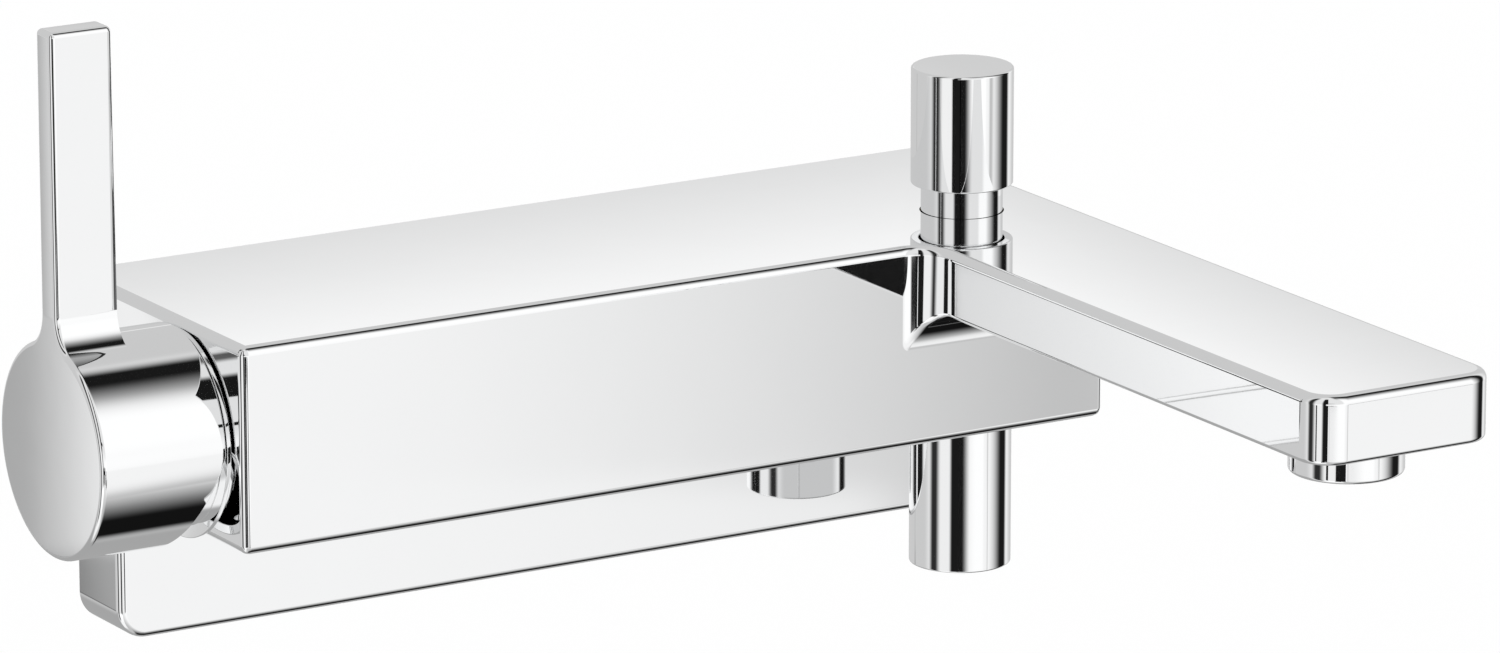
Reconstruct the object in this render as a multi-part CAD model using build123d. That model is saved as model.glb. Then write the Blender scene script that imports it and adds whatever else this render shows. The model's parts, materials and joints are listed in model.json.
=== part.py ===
from build123d import *
import math
import os

# Wall mounted single-lever bath mixer, in millimetres
# Origin: on the wall plane, midway between the two supply pipes
# +X to the user's right, -Y out of the wall, +Z up

# Body casting and spout
body_length = 237.0
body_height = 50.0
body_depth = 84.2
shell_wall = 3.0
supply_rise = 25.0  # supply pipes above the underside of the body
edge_radius = 1.5
spout_width = 50.0
spout_reach = 249.5  # wall to the tip of the spout
spout_thickness = 16.4
spout_wall = 2.5
channel_width = 18.0  # cored way for the water tube
tip_radius = 8.0
tip_solid = 45.0  # solid nose that carries the aerator
root_radius = 10.0

# Apron that covers the wall below the body
apron_depth = 20.7
apron_drop = 37.0
apron_wall = 2.5
apron_corner = 6.0

# Handle
axis_setback = 31.75  # front face to the handle's turning axis
axis_rise = 22.8  # turning axis above the underside of the body
knob_radius = 26.0
knob_length = 32.3
knob_wall = 2.4
knob_face = 5.0
handle_gap = 1.2  # between the rear rim and the end of the body
relief_angle = 19.5  # slant of the lower rear rim, which lets the lever tilt
lever_width = 16.0
lever_thickness = 7.5
lever_rise = 100.0  # tip of the lever above the axis
lever_root_radius = 9.0
lever_edge = 0.7
handle_boss_radius = 8.5
boss_standoff = 12.0  # end of the handle's boss to the end of the body
grub_radius = 2.4

# Cartridge, measured along the axis from the left end of the body
cartridge_radius = 17.5
cartridge_shoulder = 4.0
chamber_roof = 4.5
chamber_radius = 16.0
sleeve_radius = 10.0
sleeve_lead = 1.5  # how far the sleeve stands out of the end of the body
sleeve_flange = 1.6
sleeve_flange_radius = 14.0
pivot_depth = 2.0
pin_radius = 1.5
stem_side = 7.0
stem_grip = 10.0  # stem held inside the handle's boss
stem_arm = 9.0  # pivot to the centre of the ball
ball_radius = 2.5
finger_radius = 1.9
slot_half_height = 7.4
carrier_thickness = 5.0
disc_radius = 12.0
disc_thickness = 3.0
fixed_disc_radius = 15.8
fixed_disc_thickness = 3.5
base_thickness = 5.0
port_radius = 3.4
port_circle = 7.2
seal_width = 1.2
seal_height = 1.2
neck_wall = 2.5
ring_nut_wall = 1.2  # ring nut past the cartridge
ring_nut_lead = 2.0
spigot_wall = 1.8
collar_wall = 1.5
collar_height = 4.5

# Valve block and inlets
block_wall = 3.5
block_roof = 1.6
block_length = 55.0
supply_inset = 43.5  # supply pipes to the ends of the body, 150 mm apart
inlet_drop = 4.0  # inlets below the handle's axis
wall_thread_radius = 10.48
wall_thread_length = 15.0
wall_bore_radius = 7.0
union_plate_radius = 17.5
union_plate = 7.5
union_thread_radius = 13.2
union_thread_length = 7.0
union_bore_radius = 8.0
washer_thickness = 2.0
tail_flange = 3.0
tail_radius = 9.5
tail_bore_radius = 6.0
tail_socket = 5.0
nut_across_flats = 30.0
nut_lip = 3.0
pipe_radius = 6.0
pipe_bore_radius = 5.0
pipe_socket = 8.0
cold_pipe_back = 11.0  # cold pipe behind the handle's axis
cold_pipe_rise = 10.0  # cold pipe above the handle's axis
elbow_half_width = 8.0
elbow_wall = 2.0

# Mounting frame on the wall
frame_plate = 2.5
frame_inset = 8.5  # plate to the ends of the body
frame_rim = 4.9  # plate past the upper posts
wall_hole_radius = 3.0
wall_hole_spacing_x = 90.0
wall_hole_spacing_z = 50.0
wall_hole_top = 10.0
post_inset = 15.5  # posts to the ends of the body
post_spread = 28.0
post_radius = 3.5
post_stud_radius = 2.0
post_stud_length = 3.0
screw_radius = 2.0
screw_length = 12.0
screw_head_radius = 3.8
screw_head_height = 1.8
tab_offset = 60.0
tab_half_width = 10.0
tab_length = 15.0
apron_screw_length = 9.0

# Diverter column
column_setback = 25.0  # column's axis behind the front face
column_radius = 12.5
column_drop = 38.7
neck_radius = 10.0
neck_ring_gap = 0.3
neck_show = 6.9  # neck seen between the knob and the body
neck_overlap = 12.0
neck_cavity_radius = 6.5
neck_lip = 2.5
diverter_knob_height = 29.0
diverter_knob_bore = 10.5
diverter_knob_spare = 1.2
diverter_lift = 8.0
diverter_stem_radius = 3.0
diverter_stem_grip = 10.0
stem_collar_radius = 6.0
stem_collar = 1.8
guide_height = 6.0
o_ring_section = 1.5
housing_radius = 13.0
lug_half_width = 6.0
thread_engage = 4.0
spigot_engage = 10.0
valve_chamber_radius = 9.0
seat_radius = 5.5
seat_thickness = 2.0
plug_radius = 7.0
plug_seal = 1.5

# Shower outlet with its check valve
outlet_thread_radius = 9.5
outlet_thread_length = 12.0
check_radius = 8.5
check_length = 20.0
check_wall = 2.2
check_seat_radius = 3.5
check_plate = 2.0
poppet_radius = 5.0
poppet_head = 2.0
poppet_stem_radius = 1.2

# Springs
diverter_coil_radius = 4.7
diverter_wire_radius = 0.4
diverter_turns = 8
check_coil_radius = 3.2
check_wire_radius = 0.3
check_turns = 7

# Spout waterway and aerator
tube_radius = 4.5
tube_bore_radius = 3.2
tube_socket = 7.0
tube_ring_depth = 0.8
tube_ring_width = 1.6
aerator_inset = 25.0  # aerator's axis to the tip of the spout
aerator_radius = 13.5
aerator_drop = 9.4
aerator_thread_radius = 12.0
aerator_thread_length = 6.0
aerator_wall = 1.6
aerator_lip = 0.9
aerator_lip_height = 1.0
aerator_washer = 1.5
aerator_insert_height = 9.0
aerator_hole_radius = 0.8
aerator_hole_pitch = 2.4
screen_thickness = 0.6

# Clearances
seam = 0.2  # between covers
fit = 0.05  # radial play of a plug, thread or socket
running = 0.05  # radial play of a turning part
film = 0.05  # between faces that slide on each other
slack = 0.3  # room round a part that swings

# Reference planes and axes
left = -body_length / 2
right = body_length / 2
front = -body_depth
underside = -supply_rise
top = underside + body_height
inner_left = left + shell_wall
inner_right = right - shell_wall
inner_front = front + shell_wall
inner_bottom = underside + shell_wall
inner_top = top - shell_wall
apron_bottom = underside - apron_drop
apron_floor = apron_bottom + apron_wall
axis_y = front + axis_setback
axis_z = underside + axis_rise
frame_top = axis_z + post_spread / 2 + frame_rim
inlet_z = axis_z - inlet_drop
inlet_x = right - supply_inset
spout_left = right - spout_width
spout_x = right - spout_width / 2
spout_under = top - spout_thickness
tip = -spout_reach
column_x = spout_x
post_x = right - post_inset
frame_half_length = right - frame_inset
column_y = front + column_setback
aerator_y = tip + aerator_inset
nose_back = tip + tip_solid

# Stations along the handle's axis
knob_rear = left - handle_gap
knob_front = knob_rear - knob_length
boss_end = left - boss_standoff
stem_end = boss_end - stem_grip
pivot_x = left + pivot_depth
ball_x = pivot_x + stem_arm
shoulder_x = left + cartridge_shoulder
roof_x = shoulder_x + chamber_roof
flange_x = roof_x + 2 * film
carrier_x = flange_x + sleeve_flange + 2 * film
disc_x = carrier_x + carrier_thickness
fixed_x = disc_x + disc_thickness + film
base_x = fixed_x + fixed_disc_thickness
cartridge_floor = base_x + base_thickness
block_right = inner_left + block_length
ring_nut_radius = cartridge_radius + ring_nut_wall
neck_outer = sleeve_radius + running + neck_wall
spigot_radius = ring_nut_radius + spigot_wall
collar_radius = spigot_radius + collar_wall
knob_bore = knob_radius - knob_wall

# Stations from the wall to the valve block
block_half = cartridge_radius + block_wall
block_rear = axis_y + block_half
union_end = -union_plate - union_thread_length
tail_start = union_end - washer_thickness
lip_start = tail_start - tail_flange
nut_end = lip_start - nut_lip
tail_end = block_rear - tail_socket
cold_pipe_y = axis_y + cold_pipe_back
cold_pipe_z = axis_z + cold_pipe_rise

# Stations up the diverter column
tube_z = spout_under + spout_wall + seam + tube_radius
spout_chamber_floor = tube_z - tube_radius - 4 * seam
upper_seat = spout_chamber_floor - seat_thickness
lower_seat = inner_bottom + spigot_engage
neck_bottom = inner_top - thread_engage
knob_bottom = top + neck_show
knob_top = knob_bottom + diverter_knob_height
neck_top = knob_bottom + neck_overlap
knob_bore_top = neck_top + diverter_knob_spare
plug_bottom = lower_seat + film
plug_top = upper_seat - diverter_lift - film
guide_top = neck_bottom + guide_height
collar_bottom = guide_top + film
spring_bottom = collar_bottom + stem_collar
spring_top = neck_top - neck_lip
column_bottom = underside - column_drop
outlet_shelf = column_bottom + outlet_thread_length
check_top = outlet_shelf + check_length
poppet_top = check_top - check_plate - film


def bar(x0, x1, y0, y1, z0, z1):
    middle = Pos((x0 + x1) / 2, (y0 + y1) / 2, (z0 + z1) / 2)
    return middle * Box(x1 - x0, y1 - y0, z1 - z0)


def rod_x(radius, x0, x1, y, z):
    return Pos((x0 + x1) / 2, y, z) * Rot(0, 90, 0) * Cylinder(radius, x1 - x0)


def rod_y(radius, y0, y1, x, z):
    return Pos(x, (y0 + y1) / 2, z) * Rot(90, 0, 0) * Cylinder(radius, y1 - y0)


def rod_z(radius, z0, z1, x, y):
    return Pos(x, y, (z0 + z1) / 2) * Cylinder(radius, z1 - z0)


def ring_x(outer, inner, x0, x1, y, z):
    return rod_x(outer, x0, x1, y, z) - rod_x(inner, x0, x1, y, z)


def ring_y(outer, inner, y0, y1, x, z):
    return rod_y(outer, y0, y1, x, z) - rod_y(inner, y0, y1, x, z)


def ring_z(outer, inner, z0, z1, x, y):
    return rod_z(outer, z0, z1, x, y) - rod_z(inner, z0, z1, x, y)


def column_rod(radius, z0, z1):
    return rod_z(radius, z0, z1, column_x, column_y)


def column_ring(outer, inner, z0, z1):
    return ring_z(outer, inner, z0, z1, column_x, column_y)


def axis_rod(radius, x0, x1):
    return rod_x(radius, x0, x1, axis_y, axis_z)


def axis_ring(outer, inner, x0, x1):
    return ring_x(outer, inner, x0, x1, axis_y, axis_z)


def same(a, b):
    return abs(a - b) < 0.001


def lies_on(edge, side, value):
    box = edge.bounding_box()
    low = getattr(box.min, side)
    high = getattr(box.max, side)
    return same(low, value) and same(high, value)


# Body casting: a box open to the wall, with the hollow spout at its right end
def casting_outline():
    block = bar(left, right, front, 0, underside, top)
    spout = bar(spout_left, right, tip, front + shell_wall, spout_under, top)
    spout = fillet(spout.edges().filter_by(Axis.Z).group_by(Axis.Y)[0], tip_radius)
    casting = block + spout
    on_front = [e for e in casting.edges() if lies_on(e, "Y", front)]
    roots = [e for e in on_front if lies_on(e, "Z", spout_under)]
    roots += [e for e in on_front if lies_on(e, "X", spout_left)]
    casting = fillet(roots, root_radius)
    rims = []
    for edge in casting.edges():
        on_wall = lies_on(edge, "Y", 0)
        on_level = lies_on(edge, "Z", top) or lies_on(edge, "Z", underside)
        on_end = lies_on(edge, "X", left) or lies_on(edge, "X", right)
        if (on_level or on_end) and not on_wall:
            rims.append(edge)
    return fillet(rims, edge_radius)


def make_body_shell():
    shell = casting_outline()
    shell -= bar(inner_left, inner_right, inner_front, shell_wall, inner_bottom, inner_top)
    notch = -apron_depth - seam
    shell -= bar(inner_left, inner_right, notch, shell_wall, underside - shell_wall, inner_bottom)
    channel_left = spout_x - channel_width / 2
    channel_right = spout_x + channel_width / 2
    channel_end = inner_front + root_radius
    channel_floor = spout_under + spout_wall
    channel_roof = top - spout_wall
    shell -= bar(channel_left, channel_right, nose_back, channel_end, channel_floor, channel_roof)
    shell -= axis_rod(spigot_radius + slack, left - shell_wall, inner_left + shell_wall)
    shell -= column_rod(neck_radius + neck_ring_gap, inner_top - shell_wall, top + shell_wall)
    shell -= column_rod(neck_radius + neck_ring_gap, underside - shell_wall, inner_bottom + shell_wall)
    thread_top = spout_under + aerator_thread_length + aerator_washer
    shell -= rod_z(aerator_thread_radius + fit, spout_under - spout_wall, thread_top, spout_x, aerator_y)
    shell -= rod_y(tube_radius + fit, nose_back - tube_socket, nose_back + spout_wall, spout_x, tube_z)
    shell -= rod_y(tube_bore_radius, aerator_y, nose_back, spout_x, tube_z)
    return shell


# Apron: a shallow tray that hangs below the body and hides the pipe ends
def make_apron():
    tray = bar(left, right, -apron_depth, 0, apron_bottom, underside - seam)
    corners = [e for e in tray.edges().filter_by(Axis.Y) if lies_on(e, "Z", apron_bottom)]
    tray = fillet(corners, apron_corner)
    face_edges = [e for e in tray.edges() if lies_on(e, "Y", -apron_depth)]
    tray = fillet([e for e in face_edges if not lies_on(e, "Z", underside - seam)], edge_radius)
    inner_face = apron_wall - apron_depth
    hollow = bar(left + apron_wall, right - apron_wall, inner_face, apron_wall, apron_floor, top)
    hollow_corners = [e for e in hollow.edges().filter_by(Axis.Y) if lies_on(e, "Z", apron_floor)]
    tray -= fillet(hollow_corners, apron_corner - apron_wall)
    tongue_left = inner_left + seam
    tongue_right = inner_right - seam
    tray += bar(tongue_left, tongue_right, -apron_depth, inner_face, underside - seam, inner_bottom)
    for x in (-tab_offset, tab_offset):
        y = -apron_depth / 2
        tray -= rod_z(screw_radius + fit, apron_bottom, apron_floor + apron_wall, x, y)
        tray -= rod_z(screw_head_radius + fit, apron_bottom, apron_bottom + screw_head_height, x, y)
    return tray


def make_apron_screws():
    screws = []
    for x in (-tab_offset, tab_offset):
        y = -apron_depth / 2
        head_top = apron_bottom + screw_head_height
        screw = rod_z(screw_head_radius, apron_bottom, head_top, x, y)
        screw += rod_z(screw_radius, head_top, apron_bottom + apron_screw_length, x, y)
        socket = Pos(x, y, apron_bottom) * extrude(RegularPolygon(screw_radius, 6), screw_head_height / 2)
        screws.append(screw - socket)
    return Compound(children=screws)


# Mounting frame: the plate that is screwed to the wall
def post_places():
    return [(x, axis_z + z) for x in (-post_x, post_x) for z in (-post_spread / 2, post_spread / 2)]


def make_mounting_frame():
    frame = bar(-frame_half_length, frame_half_length, -frame_plate, 0, apron_floor, frame_top)
    for x in (-inlet_x, inlet_x):
        frame -= rod_y(union_plate_radius + slack, -2 * frame_plate, frame_plate, x, inlet_z / 2)
    for x in (-wall_hole_spacing_x / 2, wall_hole_spacing_x / 2):
        for z in (wall_hole_top, wall_hole_top - wall_hole_spacing_z):
            frame -= rod_y(wall_hole_radius, -2 * frame_plate, frame_plate, x, z)
    for x in (-tab_offset, tab_offset):
        tab_left = x - tab_half_width
        tab_right = x + tab_half_width
        tab_top = apron_floor + frame_plate
        frame += bar(tab_left, tab_right, -tab_length, 0, apron_floor, tab_top)
        tab_y = -apron_depth / 2
        frame -= rod_z(screw_radius + fit, apron_floor - frame_plate, tab_top + frame_plate, x, tab_y)
    for x, z in post_places():
        frame -= rod_y(screw_radius + fit, -2 * frame_plate, frame_plate, x, z)
        frame -= rod_y(screw_head_radius + fit, -screw_head_height, frame_plate, x, z)
    return frame


def make_frame_posts():
    posts = []
    for x, z in post_places():
        post = rod_y(post_radius, block_rear, -frame_plate, x, z)
        post += rod_y(post_stud_radius, block_rear - post_stud_length, block_rear, x, z)
        post -= rod_y(screw_radius + fit, -screw_length - screw_radius, 0, x, z)
        posts.append(post)
    return Compound(children=posts)


def make_frame_screws():
    screws = []
    for x, z in post_places():
        screw = rod_y(screw_head_radius, -screw_head_height, 0, x, z)
        screw += rod_y(screw_radius, -screw_length, -screw_head_height, x, z)
        reach = screw_head_radius
        slot = bar(x - reach, x + reach, -screw_head_height / 2, screw_head_height, z - seam, z + seam)
        screws.append(screw - slot)
    return Compound(children=screws)


# Supply side: offset unions in the wall, nuts, washers and tails
def make_s_union(x):
    piece = rod_y(wall_thread_radius, 0, wall_thread_length, x, 0)
    piece += rod_y(union_plate_radius, -union_plate, 0, x, inlet_z / 2)
    piece += rod_y(union_thread_radius, union_end, -union_plate, x, inlet_z)
    piece -= rod_y(wall_bore_radius, -union_plate / 2, wall_thread_length, x, 0)
    return piece - rod_y(union_bore_radius, union_end, -union_plate / 2, x, inlet_z)


def make_union_nut(x):
    start = -union_plate - 2 * slack
    hexagon = RegularPolygon(nut_across_flats / 2, 6, major_radius=False)
    nut = Pos(x, start, inlet_z) * Rot(90, 0, 0) * extrude(hexagon, start - nut_end)
    nut -= rod_y(union_thread_radius + fit, lip_start, 0, x, inlet_z)
    return nut - rod_y(tail_radius + slack, nut_end, 0, x, inlet_z)


def make_inlet_washer(x):
    return ring_y(union_thread_radius - slack, union_bore_radius, tail_start, union_end, x, inlet_z)


def make_inlet_tail(x):
    tail = rod_y(union_thread_radius - slack, lip_start, tail_start, x, inlet_z)
    tail += rod_y(tail_radius, tail_end, lip_start, x, inlet_z)
    return tail - rod_y(tail_bore_radius, tail_end, tail_start, x, inlet_z)


# Valve block: holds the cartridge and takes both supplies
port_angles = {"hot": -60.0, "cold": 60.0, "mixed": 180.0}


def port_place(name):
    turn = math.radians(port_angles[name])
    return axis_y + port_circle * math.cos(turn), axis_z + port_circle * math.sin(turn)


def make_valve_block():
    block_top = axis_z + cartridge_radius + block_roof
    block = bar(inner_left, block_right, axis_y - block_half, block_rear, inner_bottom, block_top)
    block += axis_rod(spigot_radius, left - ring_nut_lead, inner_left)
    block -= axis_rod(ring_nut_radius + fit, left - ring_nut_lead, shoulder_x)
    block -= axis_rod(cartridge_radius + fit, left - ring_nut_lead, cartridge_floor)
    hot_y, hot_z = port_place("hot")
    block -= rod_x(port_radius, cartridge_floor, -inlet_x, hot_y, hot_z)
    block -= rod_y(tail_radius + fit, tail_end, block_rear, -inlet_x, inlet_z)
    block -= rod_y(tail_bore_radius, hot_y - port_radius / 2, block_rear, -inlet_x, inlet_z)
    cold_y, cold_z = port_place("cold")
    block -= rod_x(port_radius, cartridge_floor, block_right - pipe_socket / 2, cold_y, cold_z)
    block -= rod_x(pipe_radius + fit, block_right - pipe_socket, block_right, cold_pipe_y, cold_pipe_z)
    mixed_y, mixed_z = port_place("mixed")
    block -= rod_x(port_radius, cartridge_floor, block_right - pipe_socket / 2, mixed_y, mixed_z)
    block -= rod_x(pipe_radius + fit, block_right - pipe_socket, block_right, column_y, axis_z)
    for x, z in post_places():
        block -= rod_y(post_stud_radius + fit, block_rear - post_stud_length - slack, block_rear, x, z)
    return block


def make_cold_elbow():
    low = inlet_z - tail_radius - elbow_wall
    high = cold_pipe_z + pipe_radius + elbow_wall
    deep = cold_pipe_y - pipe_radius - elbow_wall / 2
    half = tail_radius + elbow_wall
    elbow = bar(inlet_x - half, inlet_x + elbow_half_width, deep, block_rear, low, high)
    elbow += rod_y(half, tail_end - elbow_wall, block_rear, inlet_x, inlet_z)
    elbow -= rod_y(tail_radius + fit, tail_end, block_rear, inlet_x, inlet_z)
    elbow -= rod_y(pipe_bore_radius, cold_pipe_y - elbow_wall, block_rear, inlet_x, inlet_z)
    elbow -= rod_z(pipe_bore_radius - slack, inlet_z, cold_pipe_z, inlet_x, cold_pipe_y)
    elbow -= rod_x(pipe_bore_radius - 2 * slack, inlet_x - half, inlet_x, cold_pipe_y, cold_pipe_z)
    return elbow - rod_x(pipe_radius + fit, inlet_x - half, cold_socket_end(), cold_pipe_y, cold_pipe_z)


def cold_socket_end():
    return inlet_x - tail_radius - elbow_wall + pipe_socket


def make_cold_tube():
    start = block_right - pipe_socket
    return ring_x(pipe_radius, pipe_bore_radius, start, cold_socket_end(), cold_pipe_y, cold_pipe_z)


def mixed_socket_end():
    return column_x - valve_chamber_radius - seat_thickness


def make_mixed_tube():
    start = block_right - pipe_socket
    return ring_x(pipe_radius, pipe_bore_radius, start, mixed_socket_end(), column_y, axis_z)


# Cartridge
def make_cartridge_housing():
    housing = axis_rod(cartridge_radius, shoulder_x, base_x)
    housing += axis_rod(neck_outer, left - sleeve_lead, shoulder_x)
    housing -= axis_rod(sleeve_radius + running, left - sleeve_lead, roof_x)
    return housing - axis_rod(chamber_radius, roof_x, base_x)


def make_cartridge_base():
    base = axis_rod(cartridge_radius, base_x, cartridge_floor)
    for name in port_angles:
        y, z = port_place(name)
        base -= rod_x(port_radius, base_x, cartridge_floor, y, z)
        base -= rod_x(port_radius + seal_width, cartridge_floor - seal_height, cartridge_floor, y, z)
    return base


def make_port_seals():
    seals = []
    for name in port_angles:
        y, z = port_place(name)
        outer = port_radius + seal_width - fit
        seals.append(ring_x(outer, port_radius, cartridge_floor - seal_height, cartridge_floor, y, z))
    return Compound(children=seals)


def make_fixed_disc():
    disc = axis_rod(fixed_disc_radius, fixed_x, base_x)
    for name in port_angles:
        y, z = port_place(name)
        disc -= rod_x(port_radius, fixed_x, base_x, y, z)
    return disc


def make_moving_disc():
    disc = axis_rod(disc_radius, disc_x, disc_x + disc_thickness)
    mixing_cup = axis_rod(disc_radius / 2, disc_x + disc_thickness / 2, disc_x + disc_thickness)
    return disc - mixing_cup


def make_disc_carrier():
    carrier = axis_rod(disc_radius, carrier_x, disc_x)
    return carrier - axis_rod(ball_radius + slack, carrier_x, ball_x + ball_radius + slack)


def make_turn_sleeve():
    sleeve = axis_rod(sleeve_radius, left - sleeve_lead, flange_x)
    sleeve += axis_rod(sleeve_flange_radius, flange_x, flange_x + sleeve_flange)
    half = stem_side / 2 + slack
    slot_end = flange_x + 2 * sleeve_flange
    sleeve -= bar(
        knob_rear - sleeve_lead, slot_end, axis_y - half, axis_y + half,
        axis_z - slot_half_height, axis_z + slot_half_height,
    )
    return sleeve - rod_y(pin_radius, axis_y - sleeve_radius, axis_y + sleeve_radius, pivot_x, axis_z)


def make_pivot_pin():
    half = sleeve_radius - neck_wall / 2
    return rod_y(pin_radius, axis_y - half, axis_y + half, pivot_x, axis_z)


def make_cartridge_stem():
    half = stem_side / 2
    stem = bar(stem_end, pivot_x + half, axis_y - half, axis_y + half, axis_z - half, axis_z + half)
    stem += axis_rod(finger_radius, pivot_x, ball_x)
    stem += Pos(ball_x, axis_y, axis_z) * Sphere(ball_radius)
    return stem - rod_y(pin_radius + running, axis_y - stem_side, axis_y + stem_side, pivot_x, axis_z)


def make_retaining_nut():
    return axis_ring(ring_nut_radius, neck_outer + slack, left - ring_nut_lead, shoulder_x)


def make_handle_collar():
    collar = axis_rod(collar_radius, left - collar_height, left)
    rim = [e for e in collar.edges() if lies_on(e, "X", left - collar_height)]
    collar = fillet(rim, collar_wall)
    collar -= axis_rod(spigot_radius + fit, left - ring_nut_lead, left)
    return collar - axis_rod(neck_outer + slack, left - collar_height, left)


# Handle: hollow knob with its lever in one piece
def lever_outline():
    half = lever_thickness / 2
    reach = knob_radius + lever_root_radius
    centre_x = half + lever_root_radius
    centre_y = math.sqrt(reach**2 - centre_x**2)
    touch_x = centre_x * knob_radius / reach
    touch_y = centre_y * knob_radius / reach
    turn = math.pi + math.atan2(centre_y, centre_x) / 2
    bend_x = centre_x + lever_root_radius * math.cos(turn)
    bend_y = centre_y + lever_root_radius * math.sin(turn)
    edges = [
        Line((-half, centre_y), (-half, lever_rise)),
        Line((-half, lever_rise), (half, lever_rise)),
        Line((half, lever_rise), (half, centre_y)),
        ThreePointArc((half, centre_y), (bend_x, bend_y), (touch_x, touch_y)),
        ThreePointArc((touch_x, touch_y), (0, -knob_radius), (-touch_x, touch_y)),
        ThreePointArc((-touch_x, touch_y), (-bend_x, bend_y), (-half, centre_y)),
    ]
    return make_face(edges)


def make_handle():
    outline = lever_outline()
    face = Plane(origin=(knob_front, axis_y, axis_z), x_dir=(0, 1, 0), z_dir=(1, 0, 0))
    handle = extrude(face * outline, lever_width)
    handle += axis_rod(knob_radius, knob_front + lever_width, knob_rear)
    rim = [e for e in handle.edges() if lies_on(e, "X", knob_front)]
    tip_edges = [e for e in handle.edges() if lies_on(e, "Z", axis_z + lever_rise)]
    rim += [e for e in tip_edges if not lies_on(e, "X", knob_front)]
    handle = fillet(rim, lever_edge)
    handle -= axis_rod(knob_bore, knob_front + knob_face, knob_rear)
    reach = 2 * knob_radius
    wedge = Pos(reach / 2, 0, -reach / 2) * Box(reach, 2 * reach, reach)
    handle -= Pos(knob_rear, axis_y, axis_z) * Rot(0, relief_angle, 0) * wedge
    boss = axis_rod(handle_boss_radius, knob_front + knob_face, boss_end)
    half = stem_side / 2 + fit
    boss -= bar(stem_end, boss_end, axis_y - half, axis_y + half, axis_z - half, axis_z + half)
    handle += boss
    grub_x = (boss_end + stem_end) / 2
    grub_top = axis_z - stem_side / 2
    return handle - rod_z(grub_radius + fit, axis_z - 2 * knob_radius, grub_top, grub_x, axis_y)


def make_handle_grub_screw():
    grub_x = (boss_end + stem_end) / 2
    low = axis_z - handle_boss_radius
    screw = rod_z(grub_radius, low, axis_z - stem_side / 2, grub_x, axis_y)
    socket = Pos(grub_x, axis_y, low) * extrude(RegularPolygon(grub_radius / 2, 6), grub_radius)
    return screw - socket


# Diverter
def make_diverter_housing():
    housing = column_rod(housing_radius, inner_bottom, inner_top)
    lug_left = post_x - lug_half_width
    lug_right = post_x + lug_half_width
    housing += bar(lug_left, lug_right, column_y, block_rear, inner_bottom, inner_top)
    housing -= column_rod(neck_radius + fit, neck_bottom, inner_top)
    housing -= column_rod(valve_chamber_radius, spout_chamber_floor, neck_bottom)
    housing -= column_rod(seat_radius, upper_seat, spout_chamber_floor)
    housing -= column_rod(valve_chamber_radius, lower_seat, upper_seat)
    housing -= column_rod(neck_radius + fit, inner_bottom, lower_seat)
    housing -= rod_x(pipe_radius + fit, column_x - 2 * housing_radius, mixed_socket_end(), column_y, axis_z)
    housing -= rod_x(pipe_bore_radius, mixed_socket_end(), column_x, column_y, axis_z)
    housing -= rod_y(tube_radius + fit, column_y - 2 * housing_radius, tube_start(), column_x, tube_z)
    housing -= rod_y(tube_bore_radius, tube_start(), column_y, column_x, tube_z)
    for x, z in post_places():
        housing -= rod_y(post_stud_radius + fit, block_rear - post_stud_length - slack, block_rear, x, z)
    return housing


def tube_start():
    return column_y - valve_chamber_radius - seat_thickness


def make_diverter_bonnet():
    bonnet = column_rod(neck_radius, neck_bottom, neck_top)
    bonnet -= column_rod(neck_cavity_radius, neck_bottom, spring_top)
    return bonnet - column_rod(diverter_stem_radius + running, spring_top, neck_top)


def make_stem_guide():
    guide = column_rod(neck_cavity_radius - fit, neck_bottom, guide_top)
    guide -= column_rod(diverter_stem_radius + running, neck_bottom, guide_top)
    ring_low = (neck_bottom + guide_top - o_ring_section) / 2
    groove = column_rod(diverter_stem_radius + o_ring_section, ring_low, ring_low + o_ring_section)
    return guide - groove


def make_stem_o_ring():
    ring_low = (neck_bottom + guide_top - o_ring_section) / 2
    outer = diverter_stem_radius + o_ring_section - fit
    return column_ring(outer, diverter_stem_radius + running, ring_low, ring_low + o_ring_section)


def make_diverter_knob():
    knob = column_rod(column_radius, knob_bottom, knob_top)
    knob = fillet([e for e in knob.edges() if lies_on(e, "Z", knob_top)], edge_radius)
    knob -= column_rod(diverter_knob_bore, knob_bottom, knob_bore_top)
    return knob - column_rod(diverter_stem_radius + fit, knob_bore_top, knob_bore_top + diverter_stem_grip)


def make_diverter_stem():
    stem = column_rod(diverter_stem_radius, plug_top, knob_bore_top + diverter_stem_grip)
    return stem + column_rod(stem_collar_radius, collar_bottom, spring_bottom)


def make_diverter_plug():
    return column_rod(plug_radius, plug_bottom + plug_seal, plug_top - plug_seal)


def make_plug_seals():
    lower = column_rod(plug_radius, plug_bottom, plug_bottom + plug_seal)
    upper = column_rod(plug_radius, plug_top - plug_seal, plug_top)
    return Compound(children=[lower, upper])


# One round wire wound from bottom to top
def make_spring(coil_radius, wire_radius, turns, bottom, height):
    rise = height - 2 * wire_radius
    path = Helix(rise / turns, rise, coil_radius)
    section = Plane(origin=path @ 0, z_dir=path % 0) * Circle(wire_radius)
    return Pos(column_x, column_y, bottom + wire_radius) * sweep(section, path=path)


def make_diverter_spring():
    height = spring_top - spring_bottom
    return make_spring(diverter_coil_radius, diverter_wire_radius, diverter_turns, spring_bottom, height)


# Shower outlet column and the check valve inside it
def make_outlet_column():
    column = column_rod(column_radius, column_bottom, underside)
    column = fillet([e for e in column.edges() if lies_on(e, "Z", column_bottom)], edge_radius)
    column += column_rod(neck_radius, underside, lower_seat)
    column -= column_rod(seat_radius, check_top, lower_seat)
    column -= column_rod(check_radius + fit, outlet_shelf, check_top)
    return column - column_rod(outlet_thread_radius, column_bottom, outlet_shelf)


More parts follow.
